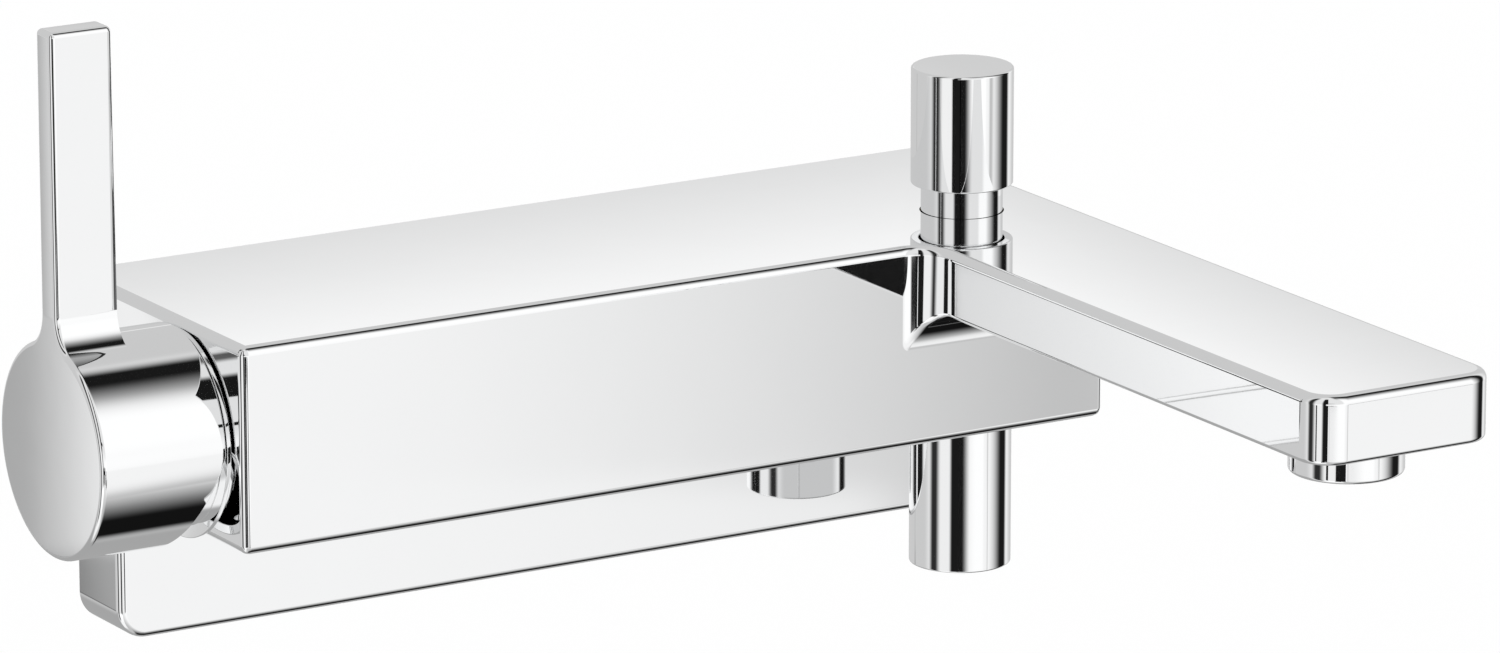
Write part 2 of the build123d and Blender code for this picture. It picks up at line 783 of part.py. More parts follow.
def make_check_valve_body():
    body = column_rod(check_radius, outlet_shelf, check_top)
    body -= column_rod(check_radius - check_wall, outlet_shelf, check_top - check_plate)
    body -= column_rod(check_seat_radius, check_top - check_plate, check_top)
    bridge = bar(
        column_x - check_radius + check_wall / 2, column_x + check_radius - check_wall / 2,
        column_y - check_plate, column_y + check_plate, outlet_shelf, outlet_shelf + check_plate,
    )
    return body + bridge - column_rod(poppet_stem_radius + running, outlet_shelf, outlet_shelf + check_plate)


def make_check_poppet():
    poppet = column_rod(poppet_radius, poppet_top - poppet_head, poppet_top)
    return poppet + column_rod(poppet_stem_radius, outlet_shelf, poppet_top - poppet_head)


def make_check_spring():
    bottom = outlet_shelf + check_plate
    height = poppet_top - poppet_head - bottom
    return make_spring(check_coil_radius, check_wire_radius, check_turns, bottom, height)


# Spout waterway and aerator
def ring_places():
    near_housing = tube_start() - tube_ring_width
    near_nose = nose_back - tube_socket / 2
    return [near_housing, near_nose]


def make_spout_tube():
    tube = ring_y(tube_radius, tube_bore_radius, nose_back - tube_socket, tube_start(), spout_x, tube_z)
    inner = tube_radius - tube_ring_depth
    half = tube_ring_width / 2
    for y in ring_places():
        tube -= ring_y(tube_radius + fit, inner, y - half, y + half, spout_x, tube_z)
    return tube


def make_tube_o_rings():
    inner = tube_radius - tube_ring_depth
    half = tube_ring_width / 2
    rings = [ring_y(tube_radius, inner, y - half, y + half, spout_x, tube_z) for y in ring_places()]
    return Compound(children=rings)


def aerator_rod(radius, z0, z1):
    return rod_z(radius, z0, z1, spout_x, aerator_y)


aerator_bottom = spout_under - aerator_drop
aerator_top = spout_under + aerator_thread_length
insert_bottom = aerator_bottom + aerator_lip_height
insert_top = insert_bottom + aerator_insert_height
insert_radius = aerator_thread_radius - aerator_wall


def make_aerator_housing():
    housing = aerator_rod(aerator_radius, aerator_bottom, spout_under)
    housing = fillet([e for e in housing.edges() if lies_on(e, "Z", aerator_bottom)], aerator_lip)
    housing += aerator_rod(aerator_thread_radius, spout_under, aerator_top)
    housing -= aerator_rod(insert_radius, insert_bottom, aerator_top)
    return housing - aerator_rod(insert_radius - aerator_lip, aerator_bottom, insert_bottom)


def hole_grid(radius):
    places = []
    count = int(radius / aerator_hole_pitch) + 1
    for row in range(-count, count + 1):
        for step in range(-count, count + 1):
            x = (step + row / 2) * aerator_hole_pitch
            y = row * aerator_hole_pitch * math.sqrt(3) / 2
            if math.hypot(x, y) < radius:
                places.append((x, y))
    return places


def drilled_disc(radius, z0, z1):
    places = hole_grid(radius - aerator_lip - 2 * aerator_hole_radius)
    face = Circle(radius) - [Pos(x, y) * Circle(aerator_hole_radius) for x, y in places]
    return Pos(spout_x, aerator_y, z0) * extrude(face, z1 - z0)


def make_aerator_insert():
    return drilled_disc(insert_radius - fit, insert_bottom, insert_top)


def make_aerator_screen():
    return drilled_disc(insert_radius - fit, insert_top, insert_top + screen_thickness)


def make_aerator_washer():
    return ring_z(
        aerator_thread_radius - seam, insert_radius - aerator_lip,
        aerator_top, aerator_top + aerator_washer, spout_x, aerator_y,
    )


pieces = {
    "body_shell": make_body_shell(),
    "apron_plate": make_apron(),
    "apron_screws": make_apron_screws(),
    "mounting_frame": make_mounting_frame(),
    "frame_posts": make_frame_posts(),
    "frame_screws": make_frame_screws(),
    "valve_block": make_valve_block(),
    "cold_elbow": make_cold_elbow(),
    "cold_tube": make_cold_tube(),
    "mixed_tube": make_mixed_tube(),
    "cartridge_housing": make_cartridge_housing(),
    "cartridge_base": make_cartridge_base(),
    "port_seals": make_port_seals(),
    "fixed_disc": make_fixed_disc(),
    "moving_disc": make_moving_disc(),
    "disc_carrier": make_disc_carrier(),
    "turn_sleeve": make_turn_sleeve(),
    "pivot_pin": make_pivot_pin(),
    "cartridge_stem": make_cartridge_stem(),
    "retaining_nut": make_retaining_nut(),
    "handle_collar": make_handle_collar(),
    "handle": make_handle(),
    "handle_grub_screw": make_handle_grub_screw(),
    "diverter_housing": make_diverter_housing(),
    "diverter_bonnet": make_diverter_bonnet(),
    "stem_guide": make_stem_guide(),
    "stem_o_ring": make_stem_o_ring(),
    "diverter_knob": make_diverter_knob(),
    "diverter_stem": make_diverter_stem(),
    "diverter_plug": make_diverter_plug(),
    "plug_seals": make_plug_seals(),
    "diverter_spring": make_diverter_spring(),
    "outlet_column": make_outlet_column(),
    "check_valve_body": make_check_valve_body(),
    "check_poppet": make_check_poppet(),
    "check_spring": make_check_spring(),
    "spout_tube": make_spout_tube(),
    "tube_o_rings": make_tube_o_rings(),
    "aerator_housing": make_aerator_housing(),
    "aerator_insert": make_aerator_insert(),
    "aerator_screen": make_aerator_screen(),
    "aerator_washer": make_aerator_washer(),
}
for side, x in (("hot", -inlet_x), ("cold", inlet_x)):
    pieces["s_union_" + side] = make_s_union(x)
    pieces["union_nut_" + side] = make_union_nut(x)
    pieces["inlet_washer_" + side] = make_inlet_washer(x)
    pieces["inlet_tail_" + side] = make_inlet_tail(x)

os.makedirs("parts", exist_ok=True)
for name, piece in pieces.items():
    export_step(piece, "parts/" + name + ".step")
    print(name, round(piece.volume, 1))
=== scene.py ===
import json
import math

import bmesh
import bpy
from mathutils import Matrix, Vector


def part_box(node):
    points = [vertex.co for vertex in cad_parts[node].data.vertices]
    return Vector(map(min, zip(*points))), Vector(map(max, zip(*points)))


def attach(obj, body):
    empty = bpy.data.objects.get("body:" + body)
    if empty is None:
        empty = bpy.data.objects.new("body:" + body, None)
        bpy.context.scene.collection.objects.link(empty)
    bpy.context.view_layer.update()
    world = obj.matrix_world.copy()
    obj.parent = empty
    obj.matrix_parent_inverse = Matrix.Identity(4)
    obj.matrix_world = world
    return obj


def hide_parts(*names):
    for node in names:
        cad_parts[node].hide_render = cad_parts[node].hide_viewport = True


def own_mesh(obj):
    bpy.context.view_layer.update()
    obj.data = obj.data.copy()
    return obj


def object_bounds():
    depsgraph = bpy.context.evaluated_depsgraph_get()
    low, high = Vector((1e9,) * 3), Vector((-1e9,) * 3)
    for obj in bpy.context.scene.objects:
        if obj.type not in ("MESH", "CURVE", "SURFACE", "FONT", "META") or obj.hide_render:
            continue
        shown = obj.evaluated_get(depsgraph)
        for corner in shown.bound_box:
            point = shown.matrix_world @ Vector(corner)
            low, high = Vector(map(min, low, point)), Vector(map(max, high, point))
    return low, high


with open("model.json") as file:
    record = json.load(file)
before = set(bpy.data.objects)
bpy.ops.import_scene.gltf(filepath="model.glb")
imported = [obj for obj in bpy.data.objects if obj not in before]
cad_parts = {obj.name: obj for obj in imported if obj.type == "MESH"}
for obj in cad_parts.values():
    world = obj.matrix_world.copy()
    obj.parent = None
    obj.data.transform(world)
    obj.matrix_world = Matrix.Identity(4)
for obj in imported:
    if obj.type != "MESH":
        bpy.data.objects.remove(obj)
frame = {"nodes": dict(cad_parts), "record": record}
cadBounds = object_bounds()
print("frame loaded,", len(frame["nodes"]), "nodes")

mm = 0.001


# shader nodes as expressions
class Wire:
    def __init__(self, kit, socket):
        self.kit = kit
        self.socket = socket

    def calc(self, operation, first, second):
        return self.kit.add("ShaderNodeMath", {"operation": operation}, {0: first, 1: second})

    def __add__(self, other):
        return self.calc("ADD", self, other)

    def __radd__(self, other):
        return self.calc("ADD", other, self)

    def __sub__(self, other):
        return self.calc("SUBTRACT", self, other)

    def __rsub__(self, other):
        return self.calc("SUBTRACT", other, self)

    def __mul__(self, other):
        return self.calc("MULTIPLY", self, other)

    def __rmul__(self, other):
        return self.calc("MULTIPLY", other, self)

    def __pow__(self, other):
        return self.calc("POWER", self, other)


class NodeKit:
    def __init__(self, tree):
        self.tree = tree
        tree.nodes.clear()

    def add(self, kind, settings=None, sockets=None, out=0):
        node = self.tree.nodes.new(kind)
        for key, value in (settings or {}).items():
            setattr(node, key, value)
        for key, value in (sockets or {}).items():
            if isinstance(value, Wire):
                self.tree.links.new(value.socket, node.inputs[key])
            else:
                node.inputs[key].default_value = value
        return Wire(self, node.outputs[out]) if node.outputs else None

    def ramp(self, value, low, high, kind="SMOOTHSTEP"):  # low..high to 0..1
        sockets = {"Value": value, "From Min": low, "From Max": high}
        return self.add("ShaderNodeMapRange", {"interpolation_type": kind}, sockets)

    def remap(self, value, low, high):  # 0..1 noise to low..high
        return self.add("ShaderNodeMapRange", {}, {"Value": value, "To Min": low, "To Max": high})

    def dot(self, place, direction):
        return self.add("ShaderNodeVectorMath", {"operation": "DOT_PRODUCT"}, {0: place, 1: direction}, 1)

    def tint(self, factor, first, second):
        sockets = {0: factor, 6: (*first, 1), 7: (*second, 1)}
        return self.add("ShaderNodeMix", {"data_type": "RGBA"}, sockets, 2)

    def noise(self, place, scale, detail=3.0, stretch=(1, 1, 1)):
        stretched = self.add("ShaderNodeMapping", {}, {"Vector": place, "Scale": stretch})
        sockets = {"Vector": stretched, "Scale": scale, "Detail": detail}
        return self.add("ShaderNodeTexNoise", {}, sockets)


# one recipe per finish: two tones, roughness range, size of blotches and grain, depth of the grain
finishSettings = {
    "chrome": dict(tones=((0.93, 0.935, 0.94), (0.955, 0.958, 0.96)), metal=1, rough=(0.015, 0.035),
                   blotch=45, grain=60, depth=0.0012 * mm),
    "brass": dict(tones=((0.66, 0.47, 0.19), (0.80, 0.61, 0.29)), metal=1, rough=(0.22, 0.42),
                  blotch=120, grain=2200, depth=0.05 * mm),
    "copper": dict(tones=((0.62, 0.27, 0.15), (0.80, 0.42, 0.27)), metal=1, rough=(0.18, 0.38),
                   blotch=90, grain=1500, depth=0.03 * mm),
    "stainless": dict(tones=((0.52, 0.53, 0.54), (0.66, 0.67, 0.68)), metal=1, rough=(0.24, 0.40),
                      blotch=60, grain=1800, depth=0.03 * mm, brush=(0.02, 1, 1)),
    "white_plastic": dict(tones=((0.78, 0.78, 0.75), (0.85, 0.85, 0.82)), metal=0, rough=(0.38, 0.55),
                          blotch=150, grain=4000, depth=0.02 * mm),
    "grey_plastic": dict(tones=((0.55, 0.56, 0.58), (0.65, 0.66, 0.68)), metal=0, rough=(0.35, 0.52),
                         blotch=150, grain=4000, depth=0.02 * mm),
    "ceramic": dict(tones=((0.86, 0.85, 0.82), (0.93, 0.92, 0.90)), metal=0, rough=(0.10, 0.20),
                    blotch=300, grain=3000, depth=0.005 * mm),
    "rubber": dict(tones=((0.025, 0.025, 0.028), (0.05, 0.05, 0.053)), metal=0, rough=(0.55, 0.75),
                   blotch=250, grain=3500, depth=0.03 * mm),
}
blotchShare = 0.65  # of what varies over a surface, the rest is grain


def makeFinish(name, recipe):
    finish = bpy.data.materials.new(name)
    finish.use_nodes = True
    kit = NodeKit(finish.node_tree)
    place = kit.add("ShaderNodeTexCoord", out=3)  # object space, so the grain rides with the piece
    blotch = kit.noise(place, recipe["blotch"])
    grain = kit.noise(place, recipe["grain"], detail=2.0, stretch=recipe.get("brush", (1, 1, 1)))
    mixed = blotchShare * blotch + (1 - blotchShare) * grain
    bump = kit.add("ShaderNodeBump", {}, {"Strength": 1.0, "Distance": recipe["depth"], "Height": grain})
    shader = kit.add("ShaderNodeBsdfPrincipled", {}, {
        "Base Color": kit.tint(mixed, *recipe["tones"]),
        "Metallic": recipe["metal"],
        "Roughness": kit.remap(mixed, *recipe["rough"]),
        "Normal": bump,
    })
    kit.add("ShaderNodeOutputMaterial", {}, {"Surface": shader})
    return finish


finishes = {name: makeFinish(name, recipe) for name, recipe in finishSettings.items()}
print("finishes:", ", ".join(finishes))

for part in frame["record"]["subparts"]:  # CAD nodes that stay take the same finishes
    node = frame["nodes"][part["node"]]
    node.data.materials.clear()
    node.data.materials.append(finishes[part["material_slot"]])


# mesh helpers
def roundOff(corners, steps):
    outline = []  # corners are (u, v, radius); a radius turns the corner into an arc
    for index, (u, v, radius) in enumerate(corners):
        corner = Vector((u, v))
        if radius <= 0:
            outline.append(corner)
            continue
        toPrevious = (Vector(corners[index - 1][:2]) - corner).normalized()
        toNext = (Vector(corners[(index + 1) % len(corners)][:2]) - corner).normalized()
        half = toPrevious.angle(toNext) / 2
        centre = corner + (toPrevious + toNext).normalized() * (radius / math.sin(half))
        first = corner + toPrevious * (radius / math.tan(half)) - centre
        last = corner + toNext * (radius / math.tan(half)) - centre
        begin = math.atan2(first.y, first.x)
        sweep = (math.atan2(last.y, last.x) - begin + math.pi) % (2 * math.pi) - math.pi
        for step in range(steps + 1):
            angle = begin + sweep * step / steps
            outline.append(centre + radius * Vector((math.cos(angle), math.sin(angle))))
    return outline


def newMesh():
    bm = bmesh.new()
    bm.edges.layers.float.new("bevel_weight_edge")
    return bm


def addLoop(bm, points):
    return [bm.verts.new(point) for point in points]


def bridge(bm, first, second, closed=True):
    for index in range(len(first) if closed else len(first) - 1):
        following = (index + 1) % len(first)
        bm.faces.new((first[index], first[following], second[following], second[index]))


def spin(bm, profile, centre, along="Z", ring=False, steps=160):
    loops = []  # profile is (radius, height) pairs; a thread's radius is a function of the turn
    for radius, height in profile:
        points = []
        for step in range(steps):
            angle = 2 * math.pi * step / steps
            size = radius(angle) if callable(radius) else radius
            u, v = centre[0] + size * math.cos(angle), centre[1] + size * math.sin(angle)
            points.append({"X": (height, u, v), "Y": (u, height, v), "Z": (u, v, height)}[along])
        loops.append(addLoop(bm, points))
    for first, second in zip(loops, loops[1:]):
        bridge(bm, first, second)
    if ring:
        bridge(bm, loops[-1], loops[0])
    else:
        bm.faces.new(loops[0])
        bm.faces.new(loops[-1])
    return bm


def threadRows(size, depth, start, end, pitch, rowsPerPitch=8, flat=0.15):
    count = math.ceil(abs(end - start) / pitch * rowsPerPitch)
    rows = []  # one helical groove from start to end; a minus depth cuts inwards, and crest and root are flat

    def groove(height):
        ends = min(abs(height - start), abs(end - height)) / pitch
        cut = depth * min(1.0, ends)

        def radius(angle):
            across = abs(2 * ((height / pitch - angle / (2 * math.pi)) % 1.0) - 1)
            return size + cut * min(max((across - flat) / (1 - 2 * flat), 0.0), 1.0)
        return radius

    for row in range(count + 1):
        height = start + (end - start) * row / count
        rows.append((groove(height), height))
    return rows


def rod(radius, start, end, centre, along="Z", steps=96):
    return spin(newMesh(), [(radius, start), (radius, end)], centre, along, steps=steps)


def bar(low, high):
    bm = newMesh()
    bmesh.ops.create_cube(bm, size=1)
    for vert in bm.verts:
        vert.co = [a + (share + 0.5) * (b - a) for a, b, share in zip(low, high, vert.co)]
    return bm


def softenEdges(bm, radii):
    layer = bm.edges.layers.float["bevel_weight_edge"]  # radii: edge -> radius
    widest = max(radii.values())
    for edge, radius in radii.items():
        edge[layer] = radius / widest
    return widest


def edgesOf(bm, chain):
    return [bm.edges.get(pair) for pair in zip(chain, chain[1:])]


def freeze(bm, name, bevelWidth=0, bevelSteps=1, joins=(), cuts=()):
    mesh = bpy.data.meshes.new(name)
    bmesh.ops.recalc_face_normals(bm, faces=bm.faces)
    bm.to_mesh(mesh)
    bm.free()
    piece = bpy.data.objects.new(name, mesh)
    bpy.context.scene.collection.objects.link(piece)
    if bevelWidth:
        bevel = piece.modifiers.new("softEdges", "BEVEL")
        bevel.limit_method = "WEIGHT"
        bevel.width = bevelWidth
        bevel.segments = bevelSteps
        bevel.use_clamp_overlap = False
        bevel.loop_slide = False
    changes = [("UNION", shape) for shape in joins] + [("DIFFERENCE", shape) for shape in cuts]
    tools = []
    for operation, shape in changes:
        tools.append(freeze(shape, f"{name}.tool{len(tools)}"))
        change = piece.modifiers.new("change", "BOOLEAN")
        change.operation = operation
        change.solver = "EXACT"
        change.object = tools[-1]
    if piece.modifiers:
        bpy.context.view_layer.update()
        ready = piece.evaluated_get(bpy.context.evaluated_depsgraph_get())
        finished = bpy.data.meshes.new_from_object(ready)
        piece.modifiers.clear()
        piece.data = finished
        finished.name = name
        for tool in tools:
            bpy.data.objects.remove(tool)
    return piece


def dress(piece, body, slotName, node, sharpFrom=32):
    mesh = piece.data
    mesh.shade_smooth()
    mesh.set_sharp_from_angle(angle=math.radians(sharpFrom))
    even = piece.modifiers.new("evenNormals", "WEIGHTED_NORMAL")
    even.keep_sharp = True
    mesh.materials.clear()
    mesh.materials.append(finishes[slotName])
    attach(piece, body)
    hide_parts(node)
    print("made", piece.name, len(mesh.polygons), "faces")


def middleOf(node, first="x", second="y"):
    low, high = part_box(node)
    return tuple((getattr(low, name) + getattr(high, name)) / 2 for name in (first, second))


# body casting with its spout
bodyLow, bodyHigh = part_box("body_shell")
apronLow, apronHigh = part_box("apron_plate")
casting = dict(
    depth=84.2 * mm, wall=3 * mm, spoutWidth=50 * mm, spoutThickness=16.4 * mm,
    rootOut=9 * mm, rootSide=7.5 * mm, rootUnder=9.3 * mm, tipRadius=8 * mm, arcSteps=18, bevelSteps=10,
    rimRadius=2.2 * mm, cornerRadius=2.0 * mm, footRadius=2.2 * mm, spoutRim=1.2 * mm,
    neckHole=10.3 * mm, endHole=20.8 * mm, notchGap=0.2 * mm, spare=1 * mm,
    channelWidth=18 * mm, channelWall=2.5 * mm, noseLength=45 * mm, channelStart=13 * mm,
    threadHole=12.05 * mm, threadDepth=7.5 * mm, tubeHole=4.55 * mm, tubeSocket=7 * mm, tubeBore=3.2 * mm,
)


def buildBody(c):
    left, right, top, under = bodyLow.x, bodyHigh.x, bodyHigh.z, bodyLow.z
    front, tip = -c["depth"], bodyLow.y
    spoutLeft, spoutUnder = right - c["spoutWidth"], top - c["spoutThickness"]
    inLeft, inRight, inFront = left + c["wall"], right - c["wall"], front + c["wall"]
    inTop, inUnder = top - c["wall"], under + c["wall"]
    notch = apronLow.y - c["notchGap"]
    bm = newMesh()
    steps = c["arcSteps"]
    root = []  # quarter round that flares the spout into the body: out from the face, sideways, down
    for step in range(steps + 1):
        angle = math.pi / 2 * step / steps
        flare = 1 - math.sin(angle)
        root.append((c["rootOut"] * (1 - math.cos(angle)), c["rootSide"] * flare, c["rootUnder"] * flare))
    tipRound = roundOff([
        (spoutLeft, front, 0), (spoutLeft, tip, c["tipRadius"]),
        (right, tip, c["tipRadius"]), (right, front, 0),
    ], steps)[1:-1]

    def point(x, y, z):
        return bm.verts.new((x, y, z))

    topLeft, topCorner = point(left, 0, top), point(left, front, top)
    topRoot = [point(spoutLeft - side, front - out, top) for out, side, down in root]
    topTip = [point(x, y, top) for x, y in tipRound]
    topRight = point(right, 0, top)
    lowLeft, lowCorner = point(left, 0, under), point(left, front, under)
    lowFront, lowRight = point(right, front, under), point(right, 0, under)
    mitre = [point(spoutLeft - side, front - out, spoutUnder - down) for out, side, down in root]
    rightRoot = [point(right, front - out, spoutUnder - down) for out, side, down in root]
    lowTip = [point(x, y, spoutUnder) for x, y in tipRound]
    backIn = [point(x, 0, z) for x, z in (
        (inLeft, under), (inLeft, inTop), (inRight, inTop), (inRight, under),
    )]
    notchLow = [point(inLeft, notch, under), point(inRight, notch, under)]
    notchHigh = [point(inLeft, notch, inUnder), point(inRight, notch, inUnder)]
    deepLow = [point(inLeft, inFront, inUnder), point(inRight, inFront, inUnder)]
    deepHigh = [point(inLeft, inFront, inTop), point(inRight, inFront, inTop)]

    topRim = [topLeft, topCorner, *topRoot, *topTip, topRight]
    bm.faces.new(topRim)
    bm.faces.new((topLeft, topCorner, lowCorner, lowLeft))
    bm.faces.new((topCorner, topRoot[0], mitre[0], rightRoot[0], lowFront, lowCorner))
    bridge(bm, topRoot, mitre, closed=False)
    bridge(bm, mitre, rightRoot, closed=False)
    bm.faces.new((topRoot[-1], topTip[0], lowTip[0], mitre[-1]))
    bridge(bm, topTip, lowTip, closed=False)
    bm.faces.new((mitre[-1], *lowTip, rightRoot[-1]))
    bm.faces.new((topRight, topTip[-1], lowTip[-1], *reversed(rightRoot), lowFront, lowRight))
    bm.faces.new((lowLeft, lowCorner, lowFront, lowRight, backIn[3], notchLow[1], notchLow[0], backIn[0]))
    bm.faces.new((lowLeft, topLeft, topRight, lowRight, backIn[3], backIn[2], backIn[1], backIn[0]))
    bm.faces.new((notchLow[0], notchLow[1], notchHigh[1], notchHigh[0]))
    bm.faces.new((backIn[0], backIn[1], deepHigh[0], deepLow[0], notchHigh[0], notchLow[0]))
    bm.faces.new((backIn[3], backIn[2], deepHigh[1], deepLow[1], notchHigh[1], notchLow[1]))
    bm.faces.new((backIn[1], backIn[2], deepHigh[1], deepHigh[0]))
    bm.faces.new((notchHigh[0], notchHigh[1], deepLow[1], deepLow[0]))
    bm.faces.new((deepLow[0], deepLow[1], deepHigh[1], deepHigh[0]))

    radii = {}
    for chain, radius in (
        (topRim, c["rimRadius"]),
        ([topCorner, lowCorner], c["cornerRadius"]),
        ([lowLeft, lowCorner, lowFront, lowRight], c["footRadius"]),
        ([lowFront, *rightRoot, *reversed(lowTip), *reversed(mitre)], c["spoutRim"]),
    ):
        radii.update({edge: radius for edge in edgesOf(bm, chain)})
    width = softenEdges(bm, radii)

    neck, nozzle = middleOf("diverter_bonnet"), middleOf("aerator_housing")
    axis, tube = middleOf("handle_collar", "y", "z"), middleOf("spout_tube", "x", "z")
    spare, nose, half = c["spare"], tip + c["noseLength"], c["channelWidth"] / 2
    return freeze(bm, "bodyCasting", width, c["bevelSteps"], cuts=[
        rod(c["neckHole"], inTop - spare, top + spare, neck),
        rod(c["neckHole"], under - spare, inUnder + spare, neck),
        rod(c["endHole"], left - spare, inLeft + spare, axis, "X"),
        bar((tube[0] - half, nose, spoutUnder + c["channelWall"]),
            (tube[0] + half, front + c["channelStart"], top - c["channelWall"])),
        rod(c["threadHole"], spoutUnder - spare, spoutUnder + c["threadDepth"], nozzle),
        rod(c["tubeHole"], nose - c["tubeSocket"], nose + spare, tube, "Y"),
        rod(c["tubeBore"], nozzle[1], nose - c["tubeSocket"] + spare, tube, "Y"),
    ])


dress(buildBody(casting), "fixture", "chrome", "body_shell")


# apron tray
apron = dict(
    wall=2.5 * mm, corner=7.6 * mm, hollow=3.5 * mm, rim=1.9 * mm, gap=0.2 * mm,
    tongueRise=3 * mm, tongueInset=3.2 * mm, steps=10, bevelSteps=10, holeSteps=64,
    screwHead=3.8 * mm, headHole=3.85 * mm, headDepth=1.8 * mm, screwHole=2.05 * mm, spare=1 * mm,
)


def buildApron(c):
    left, right, front, base = apronLow.x, apronHigh.x, apronLow.y, apronLow.z
    top, wall = bodyLow.z - c["gap"], c["wall"]
    outer = roundOff([
        (left, top, 0), (left, base, c["corner"]), (right, base, c["corner"]), (right, top, 0),
    ], c["steps"])
    inner = roundOff([
        (left + wall, top, 0), (left + wall, base + wall, c["hollow"]),
        (right - wall, base + wall, c["hollow"]), (right - wall, top, 0),
    ], c["steps"])
    tongueLeft, tongueRight = left + c["tongueInset"], right - c["tongueInset"]
    tongueTop = bodyLow.z + c["tongueRise"]  # tongue that locks behind the casting's lower wall
    tongue = [(tongueRight, top), (tongueRight, tongueTop), (tongueLeft, tongueTop), (tongueLeft, top)]
    bm = newMesh()

    def loopAt(outline, y):
        return addLoop(bm, [(x, y, z) for x, z in outline])

    face, back = loopAt(outer, front), loopAt(outer, 0)
    deep, lip = loopAt(inner, front + wall), loopAt(inner, 0)
    tongueFront, tongueRear = loopAt(tongue, front), loopAt(tongue, front + wall)
    bm.faces.new(face + tongueFront)
    bm.faces.new(deep + tongueRear)
    for first, second in ((face, back), (lip, deep), (back, lip), (tongueFront, tongueRear)):
        bridge(bm, first, second, closed=False)
    bm.faces.new((face[0], tongueFront[3], tongueRear[3], deep[0], lip[0], back[0]))
    bm.faces.new((face[-1], tongueFront[0], tongueRear[0], deep[-1], lip[-1], back[-1]))
    width = softenEdges(bm, {edge: c["rim"] for edge in edgesOf(bm, face)})
    screwLow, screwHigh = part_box("apron_screws")
    cuts = []
    for x in (screwLow.x + c["screwHead"], screwHigh.x - c["screwHead"]):
        seat = base + c["headDepth"]
        profile = [(c["headHole"], base - c["spare"]), (c["headHole"], seat),
                   (c["screwHole"], seat), (c["screwHole"], base + wall + c["spare"])]
        cuts.append(spin(newMesh(), profile, (x, (screwLow.y + screwHigh.y) / 2), steps=c["holeSteps"]))
    return freeze(bm, "apronTray", width, c["bevelSteps"], cuts=cuts)


dress(buildApron(apron), "fixture", "chrome", "apron_plate")


# handle: hollow knob and lever in one piece
handleLow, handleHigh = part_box("handle")
lever = dict(
    knobRadius=26 * mm, boreRadius=23.6 * mm, face=5 * mm, width=16 * mm, thickness=7.5 * mm,
    rootRadius=9 * mm, edge=1.3 * mm, rearEdge=0.35 * mm, relief=math.radians(19.5),
    steps=14, around=140, crownSteps=18, bevelSteps=8,
    bossRadius=8.5 * mm, bossEnd=10.8 * mm, socket=3.55 * mm, socketDepth=10 * mm, grubHole=2.45 * mm,
    spare=1 * mm, overlap=0.1 * mm,
)


def buildHandle(c):
    radius, half = c["knobRadius"], c["thickness"] / 2
    axisY, axisZ = handleLow.y + radius, handleLow.z + radius
    front, rear, mid = handleLow.x, handleHigh.x, handleLow.x + c["width"]
    tip = handleHigh.z - axisZ
    reach = radius + c["rootRadius"]
    rootU = half + c["rootRadius"]
    rootV = math.sqrt(reach ** 2 - rootU ** 2)
    slope = math.atan2(rootV, rootU)

    def arc(centreU, centreV, size, begin, end, steps):
        angles = [begin + (end - begin) * step / steps for step in range(steps + 1)]
        return [(centreU + size * math.cos(angle), centreV + size * math.sin(angle)) for angle in angles]

    rightRoot = arc(rootU, rootV, c["rootRadius"], math.pi, math.pi + slope, c["steps"])
    leftRoot = [(-u, v) for u, v in reversed(rightRoot)]
    around = arc(0, 0, radius, slope, -math.pi - slope, c["around"])
    crown = arc(0, 0, radius, math.pi - slope, slope, c["crownSteps"])[1:-1]
    outline = [(half, tip), *rightRoot, *around[1:-1], *leftRoot, (-half, tip)]

    def spot(u, v, x):
        return x, axisY + u, axisZ + v

    def rearX(v):  # the lower rim slants away from the body, so that the lever can tilt
        return rear + min(v, 0) * math.tan(c["relief"])

    bm = newMesh()
    face = addLoop(bm, [spot(u, v, front) for u, v in outline])
    middle = addLoop(bm, [spot(u, v, mid) for u, v in outline])
    crownMid = addLoop(bm, [spot(u, v, mid) for u, v in crown])
    bm.faces.new(face)
    bridge(bm, face, middle)
    count = len(rightRoot)
    knobLoop = [*middle[count:-count], *crownMid]  # the knob's own round, behind the lever
    bm.faces.new([*middle[-count - 1:], *middle[:count + 1], *reversed(crownMid)])
    places = [(vert.co.y - axisY, vert.co.z - axisZ) for vert in knobLoop]
    bore, boss = c["boreRadius"] / radius, c["bossRadius"] / radius
    rim = addLoop(bm, [spot(u, v, rearX(v)) for u, v in places])
    boreRim = addLoop(bm, [spot(u * bore, v * bore, rearX(v)) for u, v in places])
    boreEnd = addLoop(bm, [spot(u * bore, v * bore, front + c["face"]) for u, v in places])
    bossRoot = addLoop(bm, [spot(u * boss, v * boss, front + c["face"]) for u, v in places])
    bossTip = addLoop(bm, [spot(u * boss, v * boss, rear - c["bossEnd"]) for u, v in places])
    loops = [knobLoop, rim, boreRim, boreEnd, bossRoot, bossTip]
    for first, second in zip(loops, loops[1:]):
        bridge(bm, first, second)
    bm.faces.new(bossTip)
    radii = {}
    for chain, size in (
        (face + face[:1], c["edge"]), (rim + rim[:1], c["rearEdge"]), (boreRim + boreRim[:1], c["rearEdge"]),
        ([face[0], middle[0]], c["edge"]), ([face[-1], middle[-1]], c["edge"]),
        ([middle[-2], middle[-1], middle[0], middle[1]], c["edge"]),
    ):
        radii.update({edge: size for edge in edgesOf(bm, chain)})
    width = softenEdges(bm, radii)
    socketEnd = rear - c["bossEnd"]
    socketStart, side = socketEnd - c["socketDepth"], c["socket"]
    return freeze(bm, "handleLever", width, c["bevelSteps"], cuts=[
        bar((socketStart, axisY - side, axisZ - side), (socketEnd + c["spare"], axisY + side, axisZ + side)),
        rod(c["grubHole"], axisZ - radius - c["spare"], axisZ - side + c["overlap"],
            ((socketStart + socketEnd) / 2, axisY)),
    ])


